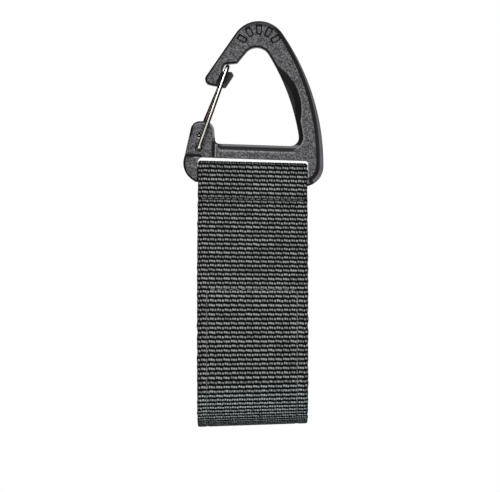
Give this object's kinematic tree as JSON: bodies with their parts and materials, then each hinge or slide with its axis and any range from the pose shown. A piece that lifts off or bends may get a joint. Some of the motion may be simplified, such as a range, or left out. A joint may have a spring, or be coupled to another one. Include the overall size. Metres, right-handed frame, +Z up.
{
  "type": "extension cord holder",
  "caption": "Wide webbing strap looped under a snap ring with a sprung wire gate; it hangs a bundle of cord from a hook or rail and closes on itself with hook and loop tape.",
  "frame": {"origin": "centre of the round top of the eye, at the middle of the ring's thickness, where a hook holds it", "axes": "+Z up, the strap hangs plumb along -Z; the front faces -Y; +X to the right seen from the front, with the gate on the left"},
  "size_m": [0.0624, 0.0638, 0.1801],
  "materials": {
    "ring_plastic": "charcoal moulding, finely textured faces and smoother rounded edges",
    "gate_wire": "bright drawn spring wire",
    "strap_webbing": "ribbed black and charcoal weave",
    "hook_tape": "stiff black hooks on a woven ground",
    "loop_pile": "soft black brushed loops",
    "tab_webbing": "plain black webbing"
  },
  "bodies": {
    "holder": {"carabiner_frame": "ring_plastic", "webbing_strap": "strap_webbing", "hook_patch": "hook_tape", "loop_tape": "loop_pile", "pull_tab": "tab_webbing"},
    "gate": {"wire_gate": "gate_wire"}
  },
  "joints": [
    {"name": "gate_hinge", "type": "hinge", "parent": "holder", "child": "gate", "pos_m": [-0.0259, 0, -0.03866], "axis": [0, 1, 0], "range_deg": [0, 38], "stiffness_Nm_per_rad": 0.1}
  ]
}
